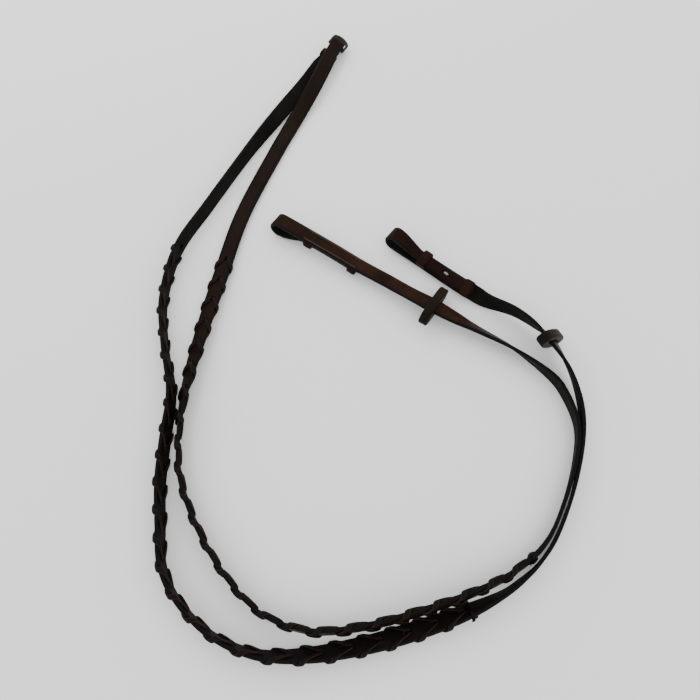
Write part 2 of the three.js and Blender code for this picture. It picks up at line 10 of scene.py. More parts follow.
import bmesh
import bpy
import numpy as np
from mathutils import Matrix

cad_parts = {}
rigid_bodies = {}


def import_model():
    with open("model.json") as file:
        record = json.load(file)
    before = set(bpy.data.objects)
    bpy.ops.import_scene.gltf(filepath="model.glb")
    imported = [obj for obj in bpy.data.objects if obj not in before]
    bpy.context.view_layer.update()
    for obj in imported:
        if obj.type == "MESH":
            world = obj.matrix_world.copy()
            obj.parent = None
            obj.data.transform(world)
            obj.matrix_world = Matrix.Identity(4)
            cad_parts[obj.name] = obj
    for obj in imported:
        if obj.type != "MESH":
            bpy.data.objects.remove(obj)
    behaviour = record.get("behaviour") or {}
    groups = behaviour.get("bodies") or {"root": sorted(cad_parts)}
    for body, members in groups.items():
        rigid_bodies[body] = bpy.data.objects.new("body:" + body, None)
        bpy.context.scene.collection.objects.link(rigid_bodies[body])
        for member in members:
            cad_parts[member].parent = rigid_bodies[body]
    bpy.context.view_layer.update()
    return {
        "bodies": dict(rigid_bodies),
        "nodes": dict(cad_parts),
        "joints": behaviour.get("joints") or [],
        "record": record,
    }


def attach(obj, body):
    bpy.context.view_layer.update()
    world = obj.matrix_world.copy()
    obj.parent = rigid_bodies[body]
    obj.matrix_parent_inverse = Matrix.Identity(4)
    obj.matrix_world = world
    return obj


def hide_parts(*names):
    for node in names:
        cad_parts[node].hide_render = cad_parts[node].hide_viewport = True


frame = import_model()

MM = 0.001

# ---------------------------------------------------------------- driving dimensions

CENTRE = np.array([12.85, 62.25, -0.78])  # of the outline, in the coordinates of the routes

STRAP_WIDTH = 16.0
STRAP_THICKNESS = 3.2
LACE_PITCH = 22.95
LACE_RISE = 9.0
LACE_WIDTH = 5.4
LACE_THICKNESS = 1.7
STEP = LACE_PITCH / 16  # between two sections of a strap
SLOT_STEPS = 2  # half of a lacing slot's length, in steps
STUD_SLOT_STEPS = 3  # the same for the slot over the stud

HEEL_BAR = np.array([-14.7, 377.0, 9.2])
HEEL_BAR_RADIUS = 1.6
CHAPE_RADIUS = 3.1
TIP_FOLD_RADIUS = 5.7
BUCKLE_STRAP_WIDTH = 13.4

LOOP_RADIUS = 6.9
LOOP_CENTRE = LOOP_RADIUS + 1.4
LINING = {"width": 13.6, "thickness": 2.0, "from": 37.0, "to": 99.5}
LINING_LEVEL = 2.7
BILLET_LEVEL = 5.2
BILLET_WIDTH = 11.4
BILLET_THICKNESS = 2.6
KEEPER_STATIONS = (43.6, 94.5)
STUD_STATION = 69.0
TIP_STATION = 101.0
KEEPER_WIDTH = 9.0
KEEPER_THICKNESS = 1.9

STITCH = {"pitch": 2.6, "half_length": 1.0, "half_width": 0.33, "half_height": 0.28}
STITCH_ROW = 5.7  # from the strap's middle to a row
STITCH_SLANT = 0.22

STOP = {"across": 48.0, "height": 19.5, "along": 8.5, "slot_across": 17.4, "slot_height": 5.4}
STOP_SLOT_POWER = 24  # of the superellipse that gives the slot its square corners
STOP_TAPER = 0.56  # share of its height that the lens loses towards each end
STOP_BLUNTNESS = 14
STOP_RIM = 0.9

# Rows of the routes: x, y, height of the strap's centre line, and roll in degrees. Roll 0 lays
# the grain side up, -180 the flesh side, and -90 stands the strap on edge, grain side outward.
BUCKLE_REIN_ROUTE = [
    (-35, 348.5, 7, -160),
    (-51.5, 319.5, 6.2, -158),
    (-72, 285.5, 7, -146),
    (-105, 229, 8.3, -108),
    (-143, 157, 8.6, -103),
    (-169, 104, 9.3, -101),
    (-177, 49, 9.5, -98),
    (-170.5, 1, 9.7, -96),
    (-159.5, -45, 10, -102),
    (-160, -89, 10, -107),
    (-160, -125, 10, -105),
    (-156, -160, 10, -101),
    (-151, -192, 10, -96),
    (-136, -218, 10, -94),
    (-108, -242.5, 10, -97),
    (-72, -256.5, 10, -108),
    (-31, -257, 9.8, -129),
    (15, -249.5, 9, -142),
    (54, -239, 9, -146),
    (90, -227, 9.8, -130),
    (120, -214, 9.8, -102),
    (138, -202.5, 9.2, -92),
    (154.5, -188.5, 8.6, -82),
    (171, -167, 8.1, -77),
    (189.5, -129, 7.9, -77),
    (202, -88, 8, -81),
    (204, -56, 10, -82),
    (196.5, -25, 16, -70),
    (181.5, 2.5, 20.5, -51),
    (171.5, 17.5, 16.5, -74),
    (154, 34.5, 12, -90),
    (131, 47, 8.3, -113),
    (118, 57.2, 6.4, -150),
    (101.5, 70, 5.2, -165),
    (70, 95, 5, -176),
    (38.5, 118.7, 5, -187),
]
POINT_REIN_ROUTE = [
    (-27.5, 342, 13.4, 21),
    (-39.5, 312.5, 11, 19),
    (-56, 279.3, 5, 14),
    (-79.5, 227.5, 2.4, 3),
    (-109.5, 149, 2.5, -4),
    (-125, 81, 4.5, -10),
    (-136.5, 25, 6.5, -25),
    (-144, -19, 9, -42),
    (-148.1, -54, 11, -62),
    (-148.1, -89, 12, -75),
    (-143, -123, 11, -84),
    (-125, -163, 10, -87),
    (-99.5, -200, 10, -87),
    (-69, -228, 10.5, -86),
    (-31, -240.5, 13, -82),
    (10, -237.5, 15, -78),
    (50, -228, 16, -76),
    (93, -214.4, 15.4, -76),
    (130.5, -197.5, 11.5, -80),
    (160, -174, 9, -78),
    (179, -142, 8, -78),
    (193.3, -106, 8, -82),
    (199, -75, 8.1, -84),
    (192, -46, 8.1, -88),
    (180.5, -27.5, 8.1, -86),
    (151, -2.5, 8.7, -64),
    (116, 18, 10, -46),
    (98, 28, 11.6, -26),
    (78, 40.5, 12, -12),
    (57, 53.5, 11.5, -18),
    (36, 67.5, 10.5, -16),
    (10, 84, 10, -14),
    (-20, 103, 12.5, -11),
    (-75, 137.2, 16.1, -7),
]
REINS = {
    "buckle_rein": {"lacing": 333.5, "stop": 1194.0},
    "point_rein": {"lacing": 345.5, "stop": 1226.5},
}
LACE_TURNS = 25
LACE_INSET = 0.9  # from the strap's middle to a thong's middle, in a slot
LACE_SINK = 0.1  # how far a thong is pressed into the leather
PINCH_DEPTH = 0.045  # share of its width that the strap loses where a thong goes round
PINCH_REACH = 4.5

UP = np.array([0.0, 0.0, 1.0])


def unit(v):
    return v / np.linalg.norm(v, axis=-1, keepdims=True)


BUCKLE_HEADING = unit(np.array([0.54, 0.84, 0.0]))
BUCKLE_TILT = math.radians(20)
BUCKLE_UP = math.cos(BUCKLE_TILT) * UP + math.sin(BUCKLE_TILT) * np.cross(BUCKLE_HEADING, UP)
BUCKLE_ACROSS = np.cross(BUCKLE_UP, BUCKLE_HEADING)

# ---------------------------------------------------------------- camera and stage

CAMERA_TILT = math.radians(23)
CAMERA_DISTANCE = 597.6
CAMERA_LENS = 32.91
SENSOR_WIDTH = 36


def add_camera():
    """Looks down at the reins, tilted from the vertical towards their laced end."""
    data = bpy.data.cameras.new("camera")
    data.lens = CAMERA_LENS
    data.sensor_width = SENSOR_WIDTH
    camera = bpy.data.objects.new("camera", data)
    back = -CAMERA_DISTANCE * math.sin(CAMERA_TILT)
    height = CAMERA_DISTANCE * math.cos(CAMERA_TILT)
    place = (np.array([0, back, height]) - CENTRE) * MM
    camera.location = place
    camera.rotation_euler = (CAMERA_TILT, 0, 0)
    bpy.context.scene.collection.objects.link(camera)
    bpy.context.scene.camera = camera


# ---------------------------------------------------------------- paths


class Frame:
    """One station of a path, or an array of them."""

    def __init__(self, p, along, across):
        self.p = p
        self.along = unit(along)
        self.across = unit(across - np.sum(across * self.along, -1, keepdims=True) * self.along)
        self.grain = np.cross(self.along, self.across)

    def point(self, along=0.0, across=0.0, grain=0.0):
        offsets = zip((along, across, grain), (self.along, self.across, self.grain))
        return self.p + sum(np.asarray(size, float)[..., None] * way for size, way in offsets)


class Path:
    """A strap's centre line with its directions along and across, its width and thickness."""

    def __init__(self, table):
        self.table = np.asarray(table, float)
        steps = np.linalg.norm(np.diff(self.table[:, :3], axis=0), axis=1)
        self.s = np.concatenate([[0.0], np.cumsum(steps)])
        self.length = self.s[-1]

    def row(self, s):
        return np.stack([np.interp(s, self.s, column) for column in self.table.T], -1)

    def at(self, s):
        row = self.row(s)
        return Frame(row[..., 0:3], row[..., 3:6], row[..., 6:9])

    def size(self, s):
        row = self.row(s)
        return row[..., 9], row[..., 10]


def spline(rows, steps):
    """A smooth curve through rows of numbers, all their columns at once."""
    rows = np.array(rows, float)
    rows = np.vstack([2 * rows[0] - rows[1], rows, 2 * rows[-1] - rows[-2]])
    out = []
    for a, b, c, d in zip(rows, rows[1:], rows[2:], rows[3:]):
        for t in np.arange(steps) / steps:
            bend = (2 * a - 5 * b + 4 * c - d) * t**2 + (3 * b - a - 3 * c + d) * t**3
            out.append(0.5 * (2 * b + (c - a) * t + bend))
    out.append(rows[-2])
    return np.array(out)


def travel(points):
    """The direction of travel at each point."""
    first = points[1:2] - points[0:1]
    last = points[-1:] - points[-2:-1]
    return unit(np.vstack([first, points[2:] - points[:-2], last]))


def table(points, across, width, thickness):
    count = len(points)
    columns = [points, travel(points), np.broadcast_to(across, (count, 3))]
    sizes = np.broadcast_to(np.stack(np.broadcast_arrays(width, thickness), -1), (count, 2))
    return np.hstack([*columns, sizes])


def route_table(route):
    curve = spline(route, 10)
    points = curve[:, :3] - CENTRE
    along = travel(points)
    left = unit(np.cross(UP, along))
    above = np.cross(along, left)
    roll = np.radians(curve[:, 3])[:, None]
    across = np.cos(roll) * left - np.sin(roll) * above
    return table(points, across, STRAP_WIDTH, STRAP_THICKNESS)


def fold_table(origin, out, up, across, rows):
    """A fold in one plane, from rows of distance out, distance up, width and thickness."""
    curve = spline(rows, 3)
    points = origin + curve[:, :1] * out + curve[:, 1:2] * up
    return table(points, across, curve[:, 2], curve[:, 3])


def arc_rows(radius, start, end, count, width, thickness):
    angles = np.radians(np.linspace(start, end, count + 1))
    return [(radius * math.cos(a), radius * math.sin(a), width, thickness) for a in angles]


def chape_table():
    """The buckle rein's end, folded round the heel bar over its own flesh side."""
    wide = BUCKLE_STRAP_WIDTH
    rows = [(-13, 1.5, 12.6, 1.8), (-7, 2, wide, 2)]
    rows += arc_rows(CHAPE_RADIUS, 90, -90, 8, wide, 2.2)
    rows += [(-7, -2, wide, 2.2), (-14, -1.6, wide, 2.4), (-22, -1.4, 14.6, 2.6)]
    return fold_table(HEEL_BAR - CENTRE, BUCKLE_HEADING, BUCKLE_UP, BUCKLE_ACROSS, rows)


def tip_fold_table():
    """The point rein's tip: from under the buckle rein, round the chape and back on top."""
    wide = BUCKLE_STRAP_WIDTH
    rows = [(-24, -4.1, 6, 1.8), (-21, -4.1, 12.6, 2.2), (-13, -4.3, wide, 2.2), (-6, -5.2, wide, 2.2)]
    rows += arc_rows(TIP_FOLD_RADIUS, -90, 90, 10, wide, 2.2)
    rows += [(-7, 5.6, 14.2, 2.5)]
    return fold_table(HEEL_BAR - CENTRE, BUCKLE_HEADING, BUCKLE_UP, -BUCKLE_ACROSS, rows)


def bit_end_table(main):
    """The bit loop and the strap folded back along the flesh side of the main strap."""
    start = main.at(main.length - LOOP_CENTRE)
    rows = arc_rows(LOOP_RADIUS, -90, 90, 8, STRAP_WIDTH, 2.8)
    turn = fold_table(start.point(grain=-LOOP_RADIUS), start.along, -start.grain, start.across, rows)
    back_rows = [(15, 13.0, 15.4, 2.7), (22, 11.0, 14, 2.6), (29, 8.2, 12.6, 2.6)]
    back_rows += [(35, 5.9, BILLET_WIDTH, BILLET_THICKNESS)]
    flat = np.arange(41, TIP_STATION - 3, 7)
    back_rows += [(back, BILLET_LEVEL, BILLET_WIDTH, BILLET_THICKNESS) for back in flat]
    back_rows += [(TIP_STATION - 3, BILLET_LEVEL, BILLET_WIDTH - 1, BILLET_THICKNESS)]
    back_rows += [(TIP_STATION, BILLET_LEVEL, 5, 2)]
    back, level, width, thickness = spline(back_rows, 3).T
    frames = main.at(main.length - back)
    folded = table(frames.point(grain=-level), frames.across, width, thickness)
    return np.vstack([turn, folded])


def strap_path(buckle_end, route):
    main = Path(np.vstack([buckle_end, route_table(route)]))
    straight = main.table[main.s < main.length - LOOP_CENTRE - 1]
    path = Path(np.vstack([straight, bit_end_table(main)]))
    path.loop_end = main.length
    return path


# ---------------------------------------------------------------- meshes


def make_piece(name, verts, faces, materials, body, nodes, indices=None, uvs=None, sharp=50):
    """One mesh object that rides on a body and stands for CAD nodes."""
    mesh = bpy.data.meshes.new(name)
    mesh.from_pydata((np.asarray(verts) * MM).tolist(), [], faces)
    for material in materials:
        mesh.materials.append(material)
    if indices is not None:
        mesh.polygons.foreach_set("material_index", indices)
    if uvs is not None:
        layer = mesh.uv_layers.new(name="UVMap")
        loops = np.zeros(len(mesh.loops), int)
        mesh.loops.foreach_get("vertex_index", loops)
        layer.data.foreach_set("uv", np.asarray(uvs)[loops].ravel())
    tidy = bmesh.new()
    tidy.from_mesh(mesh)
    bmesh.ops.recalc_face_normals(tidy, faces=tidy.faces)
    tidy.to_mesh(mesh)
    tidy.free()
    mesh.shade_smooth()
    mesh.set_sharp_from_angle(angle=math.radians(sharp))
    piece = bpy.data.objects.new(name, mesh)
    bpy.context.scene.collection.objects.link(piece)
    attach(piece, body)
    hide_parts(*nodes)
    return piece


def loft(rings, closed=False):
    """Vertices and faces through rings of equal count; open lofts are capped at both ends."""
    rings = np.asarray(rings)
    count, size = rings.shape[:2]
    faces = []
    for i in range(count if closed else count - 1):
        a, b = i * size, (i + 1) % count * size
        for j in range(size):
            k = (j + 1) % size
            faces.append((a + j, a + k, b + k, b + j))
    if not closed:
        faces.append(tuple(range(size))[::-1])
        faces.append(tuple(range((count - 1) * size, count * size)))
    return rings.reshape(-1, 3), faces


def join(parts):
    """Several (vertices, faces) as one."""
    verts, faces, start = [], [], 0
    for part_verts, part_faces in parts:
        verts.append(part_verts)
        faces += [tuple(index + start for index in face) for face in part_faces]
        start += len(part_verts)
    return np.vstack(verts), faces


def superellipse(count, power=3.0):
    """A rounded square outline of half-size one."""
    angles = np.arange(count) * 2 * math.pi / count
    c, s = np.cos(angles), np.sin(angles)
    size = (np.abs(c) ** power + np.abs(s) ** power) ** (-1 / power)
    return np.stack([c * size, s * size], -1)


def ribbon_rings(centres, wide, thin, section):
    """A section carried along centres: wide and thin are its half-size vectors."""
    x = section[None, :, 0, None] * wide[:, None, :]
    y = section[None, :, 1, None] * thin[:, None, :]
    return centres[:, None, :] + x + y


# ---------------------------------------------------------------- materials


class Nodes:
    """A material and short calls for adding nodes to it."""

    def __init__(self, name):
        self.material = bpy.data.materials.new(name)
        self.material.use_nodes = True
        self.tree = self.material.node_tree
        self.shader = self.tree.nodes["Principled BSDF"]

    def add(self, kind, **inputs):
        node = self.tree.nodes.new(kind)
        for name, value in inputs.items():
            self.set(node, name.replace("_", " "), value)
        return node

    def set(self, node, socket, value):
        target = node.inputs[socket]
        if isinstance(value, bpy.types.NodeSocket):
            self.tree.links.new(value, target)
        else:
            target.default_value = value

    def place(self):
        return self.add("ShaderNodeTexCoord").outputs["Object"]

    def noise(self, vector, scale, detail=3.0, roughness=0.5):
        node = self.add("ShaderNodeTexNoise", Vector=vector, Scale=scale, Detail=detail, Roughness=roughness)
        return node.outputs["Fac"]

    def stretched(self, vector, scale):
        return self.add("ShaderNodeMapping", Vector=vector, Scale=scale).outputs["Vector"]

    def ramp(self, value, low, high, start=0.0, end=1.0):
        """value from low..high carried to start..end."""
        node = self.add("ShaderNodeMapRange", Value=value)
        self.set(node, "From Min", low)
        self.set(node, "From Max", high)
        self.set(node, "To Min", start)
        self.set(node, "To Max", end)
        return node.outputs["Result"]

    def mix(self, factor, a, b):
        node = self.add("ShaderNodeMix")
        node.data_type = "RGBA"
        self.set(node, "Factor", factor)
        for socket, value in (("A_Color", a), ("B_Color", b)):
            target = next(s for s in node.inputs if s.identifier == socket)
            if isinstance(value, bpy.types.NodeSocket):
                self.tree.links.new(value, target)
            else:
                target.default_value = (*value, 1.0)
        return next(s for s in node.outputs if s.identifier == "Result_Color")

    def math(self, operation, a, b):
        node = self.add("ShaderNodeMath")
        node.operation = operation
        for target, value in zip(node.inputs, (a, b)):
            if isinstance(value, bpy.types.NodeSocket):
                self.tree.links.new(value, target)
            else:
                target.default_value = value
        return node.outputs["Value"]

    def bump(self, height, strength, distance):
        node = self.add("ShaderNodeBump", Height=height, Strength=strength, Distance=distance)
        self.set(self.shader, "Normal", node.outputs["Normal"])


WORN_BLACK = (0.0045, 0.0030, 0.0024)  # the grain side where hands have darkened it


def leather(name, colours, roughness=0.46, grain=0.35, brown_from=None):
    """Dyed leather: cloudy colour, worn lighter places, a fine pebble grain and pores.

    brown_from is the distance in metres along the strap where it starts to be browner, if it does.
    """
    dark, light, worn = colours
    nodes = Nodes(name)
    place = nodes.place()
    cloud = nodes.noise(place, 34, 4, 0.6)
    fine = nodes.noise(place, 420, 3, 0.6)
    wear = nodes.noise(place, 110, 5, 0.7)
    pebble = nodes.add("ShaderNodeTexVoronoi", Vector=place, Scale=1500).outputs["Distance"]
    colour = nodes.mix(nodes.ramp(cloud, 0.35, 0.65), dark, light)
    colour = nodes.mix(nodes.ramp(fine, 0.5, 0.8, 0, 0.5), colour, dark)
    colour = nodes.mix(nodes.ramp(wear, 0.56, 0.72, 0, 0.55), colour, worn)
    if brown_from:
        uv = nodes.add("ShaderNodeUVMap").outputs["UV"]
        s = nodes.add("ShaderNodeSeparateXYZ", Vector=uv).outputs["X"]
        black = nodes.ramp(s, brown_from, brown_from + 0.2, 0.6, 0.0)
        colour = nodes.mix(black, colour, WORN_BLACK)
    nodes.set(nodes.shader, "Base Color", colour)
    nodes.set(nodes.shader, "Roughness", nodes.ramp(fine, 0.3, 0.7, roughness - 0.06, roughness + 0.1))
    nodes.shader.inputs["Specular IOR Level"].default_value = 0.045
    height = nodes.math("ADD", pebble, nodes.math("MULTIPLY", fine, 1.5))
    nodes.bump(height, grain, 0.00025)
    return nodes.material


def lace_leather(name, face, edge):
    """A thong: dark on its face, with a painted highlight, browner, along its two edges."""
    nodes = Nodes(name)
    place = nodes.place()
    uv = nodes.add("ShaderNodeUVMap").outputs["UV"]
    across = nodes.add("ShaderNodeSeparateXYZ", Vector=uv).outputs["Y"]
    # painted highlight: the thong's two rims are made lighter
    rim_highlight = nodes.ramp(nodes.math("ABSOLUTE", across, 0.0), 0.55, 0.8)
    # noise that makes the painted rim highlight patchy
    wear = nodes.ramp(nodes.noise(place, 90, 4, 0.6), 0.35, 0.65, 0.25, 1.0)
    fine = nodes.noise(place, 500, 3, 0.6)
    colour = nodes.mix(nodes.math("MULTIPLY", rim_highlight, wear), face, edge)
    colour = nodes.mix(nodes.ramp(fine, 0.5, 0.8, 0, 0.4), colour, tuple(0.5 * c for c in face))
    nodes.set(nodes.shader, "Base Color", colour)
    nodes.set(nodes.shader, "Roughness", nodes.ramp(fine, 0.3, 0.7, 0.45, 0.62))
    nodes.shader.inputs["Specular IOR Level"].default_value = 0.08
    nodes.bump(fine, 0.3, 0.0002)
    return nodes.material


def flesh_leather(name, dark, light):
    """The back of the strap: matte, with short fibres lying along it."""
    nodes = Nodes(name)
    place = nodes.place()
    uv = nodes.add("ShaderNodeUVMap").outputs["UV"]
    fibre = nodes.noise(nodes.stretched(uv, (180, 1600, 1)), 1.0, 4, 0.7)
    cloud = nodes.noise(place, 60, 4, 0.6)
    colour = nodes.mix(nodes.ramp(cloud, 0.35, 0.65), dark, light)
    colour = nodes.mix(nodes.ramp(fibre, 0.5, 0.75, 0, 0.45), colour, tuple(1.7 * c for c in light))
    nodes.set(nodes.shader, "Base Color", colour)
    nodes.set(nodes.shader, "Roughness", nodes.ramp(fibre, 0.3, 0.7, 0.6, 0.8))
    nodes.shader.inputs["Specular IOR Level"].default_value = 0.06
    nodes.bump(fibre, 0.4, 0.0003)
    return nodes.material


def edge_leather(name):
    """A dyed and burnished cut edge, with the ply showing as faint lines."""
    nodes = Nodes(name)
    uv = nodes.add("ShaderNodeUVMap").outputs["UV"]
    streak = nodes.noise(nodes.stretched(uv, (90, 2600, 1)), 1.0, 3, 0.6)
    black, brown = (0.0008, 0.0008, 0.0008), (0.0032, 0.0028, 0.0022)
    colour = nodes.mix(nodes.ramp(streak, 0.4, 0.7), black, brown)
    nodes.set(nodes.shader, "Base Color", colour)
    nodes.set(nodes.shader, "Roughness", nodes.ramp(streak, 0.3, 0.7, 0.34, 0.5))
    nodes.shader.inputs["Specular IOR Level"].default_value = 0.07
    nodes.bump(streak, 0.3, 0.0002)
    return nodes.material


def thread(name):
    """Waxed linen thread, twisted."""
    nodes = Nodes(name)
    place = nodes.place()
    twist = nodes.noise(place, 2600, 2)
    nodes.set(nodes.shader, "Base Color", nodes.mix(twist, (0.045, 0.028, 0.016), (0.115, 0.08, 0.05)))
    nodes.shader.inputs["Roughness"].default_value = 0.6
    nodes.bump(twist, 0.5, 0.0002)
    return nodes.material


def metal(name, dark, light, roughness):
    """Polished fittings with fine scratches and a little dirt."""
    nodes = Nodes(name)
    place = nodes.place()
    cloud = nodes.noise(place, 300, 4, 0.6)
    scratch = nodes.noise(nodes.stretched(place, (300, 3000, 1200)), 1.0, 2)
    nodes.set(nodes.shader, "Base Color", nodes.mix(nodes.ramp(cloud, 0.35, 0.6), dark, light))
    nodes.set(nodes.shader, "Roughness", nodes.ramp(scratch, 0.3, 0.7, roughness - 0.06, roughness + 0.1))
    nodes.shader.inputs["Metallic"].default_value = 1.0
    nodes.bump(scratch, 0.15, 0.0001)
    return nodes.material


# Each leather's dark, light and worn colours.
BUCKLE_GRAIN = ((0.0050, 0.0018, 0.0012), (0.0120, 0.0040, 0.0026), (0.020, 0.0078, 0.0046))
POINT_GRAIN = ((0.0075, 0.0026, 0.0012), (0.0200, 0.0080, 0.0036), (0.036, 0.0160, 0.0074))
STRIP_LEATHER = ((0.0060, 0.0022, 0.0014), (0.0150, 0.0054, 0.0034), (0.026, 0.0105, 0.0062))
STOP_LEATHER = ((0.0048, 0.0032, 0.0018), (0.012, 0.0078, 0.0042), (0.024, 0.0160, 0.0090))


def make_materials():
    return {
        "buckle_grain": leather("buckle_grain", BUCKLE_GRAIN, brown_from=1.1),
        "point_grain": leather("point_grain", POINT_GRAIN, brown_from=1.0),
        "flesh": flesh_leather("flesh", (0.0022, 0.0019, 0.0015), (0.0062, 0.0050, 0.0036)),
        "edge": edge_leather("edge"),
        # the lace's face colour, then the colour of the painted highlight on its rims
        "lace": lace_leather("lace", (0.0042, 0.0022, 0.0016), (0.021, 0.0110, 0.0078)),
        "strip": leather("strip", STRIP_LEATHER),
        "stop": leather("stop", STOP_LEATHER, 0.5, 0.3),
        "thread": thread("thread"),
        "steel": metal("steel", (0.13, 0.13, 0.125), (0.4, 0.4, 0.39), 0.32),
        "dark_metal": metal("dark_metal", (0.010, 0.0105, 0.009), (0.042, 0.042, 0.037), 0.38),
    }


# ---------------------------------------------------------------- straps

# A strap's section: columns across its grain side, mirrored on its flesh side.
COLUMNS = (-7.3, -6.9, -6.5, -6.1, -4.2, -1.9, 0, 1.9, 4.2, 6.1, 6.5, 6.9, 7.3)
CREASE_COLUMN = 6.5
CREASE_DEPTH = 0.25
SLOT_COLUMNS = (5, 7)  # the columns that a slot opens between
GRAIN, FLESH, EDGE = 0, 1, 2  # the strap's materials
EDGE_POINTS = ((7.85, 1.1), (8.0, 0.0), (7.85, -1.1))


def strap_section():
    """Grain side left to right, right edge, flesh side back, left edge; and each face's material."""
    face = STRAP_THICKNESS / 2
    top = [(x, face - (CREASE_DEPTH if abs(x) == CREASE_COLUMN else 0)) for x in COLUMNS]
    bottom = [(x, -face) for x in reversed(COLUMNS)]
    right = list(EDGE_POINTS)
    left = [(-x, y) for x, y in reversed(EDGE_POINTS)]
    points = np.array(top + right + bottom + left)
    kinds = [GRAIN] * (len(top) - 1) + [EDGE] * (len(right) + 1) + [FLESH] * (len(bottom) - 1)
    kinds += [EDGE] * (len(left) + 1)
    return points, kinds


def pinch(s, start):
    """How much the strap narrows at s, where the thongs are drawn round its edges."""
    turn = (s - start - LACE_RISE) / LACE_PITCH
    near = (turn - np.round(turn)) * LACE_PITCH
    laced = (turn > -0.5) & (turn < LACE_TURNS - 0.5)
    return np.where(laced, PINCH_DEPTH * np.exp(-((near / PINCH_REACH) ** 2)), 0.0)


def strap_mesh(path, start):
    """A strap with its lacing slots and its stud slot.

    Gives vertices, faces, each face's material, UVs and the centre line.
    """
    first = start - math.floor(start / STEP) * STEP
    s = np.concatenate([[0.0], np.arange(first, path.length, STEP), [path.length]])
    frames = path.at(s)
    width, thickness = path.size(s)
    width = width * (1 - pinch(s, start))
    section, kinds = strap_section()
    size = len(section)
    wide = frames.across * (width / STRAP_WIDTH)[:, None]
    thin = frames.grain * (thickness / STRAP_THICKNESS)[:, None]
    rings = ribbon_rings(frames.p, wide, thin, section)

    stud = path.length - (TIP_STATION - STUD_STATION)
    slots = [(start + turn * LACE_PITCH, SLOT_STEPS) for turn in range(LACE_TURNS + 1)]
    slots.append((stud, STUD_SLOT_STEPS))
    open_rows = {}
    for middle, steps in slots:
        centre = int(np.argmin(np.abs(s - middle)))
        open_rows[centre - steps] = centre + steps

    left, right = SLOT_COLUMNS
    under = 2 * len(COLUMNS) + len(EDGE_POINTS) - 1  # ring index of the flesh side's first column

    def below(column):
        return under - column

    skipped = set()
    for low, high in open_rows.items():
        for i in range(low, high):
            for column in range(left, right):
                skipped.add((i, column))
                skipped.add((i, below(column + 1)))
    faces, indices = [], []
    for i in range(len(s) - 1):
        for j in range(size):
            if (i, j) in skipped:
                continue
            a, b, k = i * size, (i + 1) * size, (j + 1) % size
            faces.append((a + j, a + k, b + k, b + j))
            indices.append(kinds[j])
    for low, high in open_rows.items():
        corners = [(i, left) for i in range(low, high)]
        corners += [(high, column) for column in range(left, right)]
        corners += [(i, right) for i in range(high, low, -1)]
        corners += [(low, column) for column in range(right, left, -1)]
        for (i, c), (k, d) in zip(corners, corners[1:] + corners[:1]):
            faces.append((i * size + c, k * size + d, k * size + below(d), i * size + below(c)))
            indices.append(EDGE)
    faces.append(tuple(range(size)))
    faces.append(tuple(range((len(s) - 1) * size, len(s) * size)))
    indices += [EDGE, EDGE]
    u = np.repeat(s[:, None], size, 1)
    v = np.broadcast_to(section[:, 0] + 2 * section[:, 1], u.shape)
    uvs = np.stack([u, v], -1).reshape(-1, 2) * MM
    return rings.reshape(-1, 3), faces, indices, uvs, frames.p


# ---------------------------------------------------------------- lacing


def lace_rows():
    """One turn of a thong: distance along the strap, across it and out of its grain side."""
    level = STRAP_THICKNESS / 2 + LACE_THICKNESS / 2 - LACE_SINK
    edge = STRAP_WIDTH / 2 + LACE_THICKNESS / 2 - LACE_SINK
    return [
        (0.0, LACE_INSET, 0.0),
        (1.3, 2.3, level),
        (LACE_RISE - 2.6, 7.4, level + 0.1),
        (LACE_RISE, edge, 0.0),
        (LACE_RISE + 2.6, 7.4, -level),
        (LACE_PITCH - 1.3, 2.3, -level),
    ]


def lace_mesh(path, start, side):
    """One thong: round its side of the strap and through every slot, with UVs across it for the painted
    highlight on its rims.
    """
    rows = []
    for turn in range(LACE_TURNS):
        rows += [(start + turn * LACE_PITCH + s, side * x, y) for s, x, y in lace_rows()]
    rows.append((start + LACE_TURNS * LACE_PITCH, side * LACE_INSET, 0.0))
    s, across, level = spline(rows, 5).T
    frames = path.at(s)
    centres = frames.point(across=across, grain=level)
    change_across, change_level = np.gradient(across), np.gradient(level)
    round_ = unit(change_across[:, None] * frames.across + change_level[:, None] * frames.grain)
    wide = frames.along * LACE_WIDTH / 2
    thin = np.cross(round_, frames.along) * LACE_THICKNESS / 2
    section = superellipse(16, 4)
    verts, faces = loft(ribbon_rings(centres, wide, thin, section))
    u = np.repeat(s * MM, len(section))
    v = np.tile(section[:, 0], len(s))
    return verts, faces, np.stack([u, v], -1)


def wound_mesh(frame_of, turns, half_across, half_grain, width, thickness, start_angle=0.0):
    """A thong wound round the strap: frame_of gives the frame at a share of the way."""
    count = int(28 * turns)
    share = np.linspace(0, 1, count)
    angle = start_angle + share * turns * 2 * math.pi
    c, s = np.cos(angle), np.sin(angle)
    size = ((np.abs(c) / half_across) ** 5 + (np.abs(s) / half_grain) ** 5) ** (-1 / 5)
    frames = frame_of(share)
    centres = frames.point(across=c * size, grain=s * size)
    way = travel(centres)
    wide = unit(frames.along - np.sum(frames.along * way, -1, keepdims=True) * way)
    thin = np.cross(way, wide) * thickness / 2
    return loft(ribbon_rings(centres, wide * width / 2, thin, superellipse(12)))


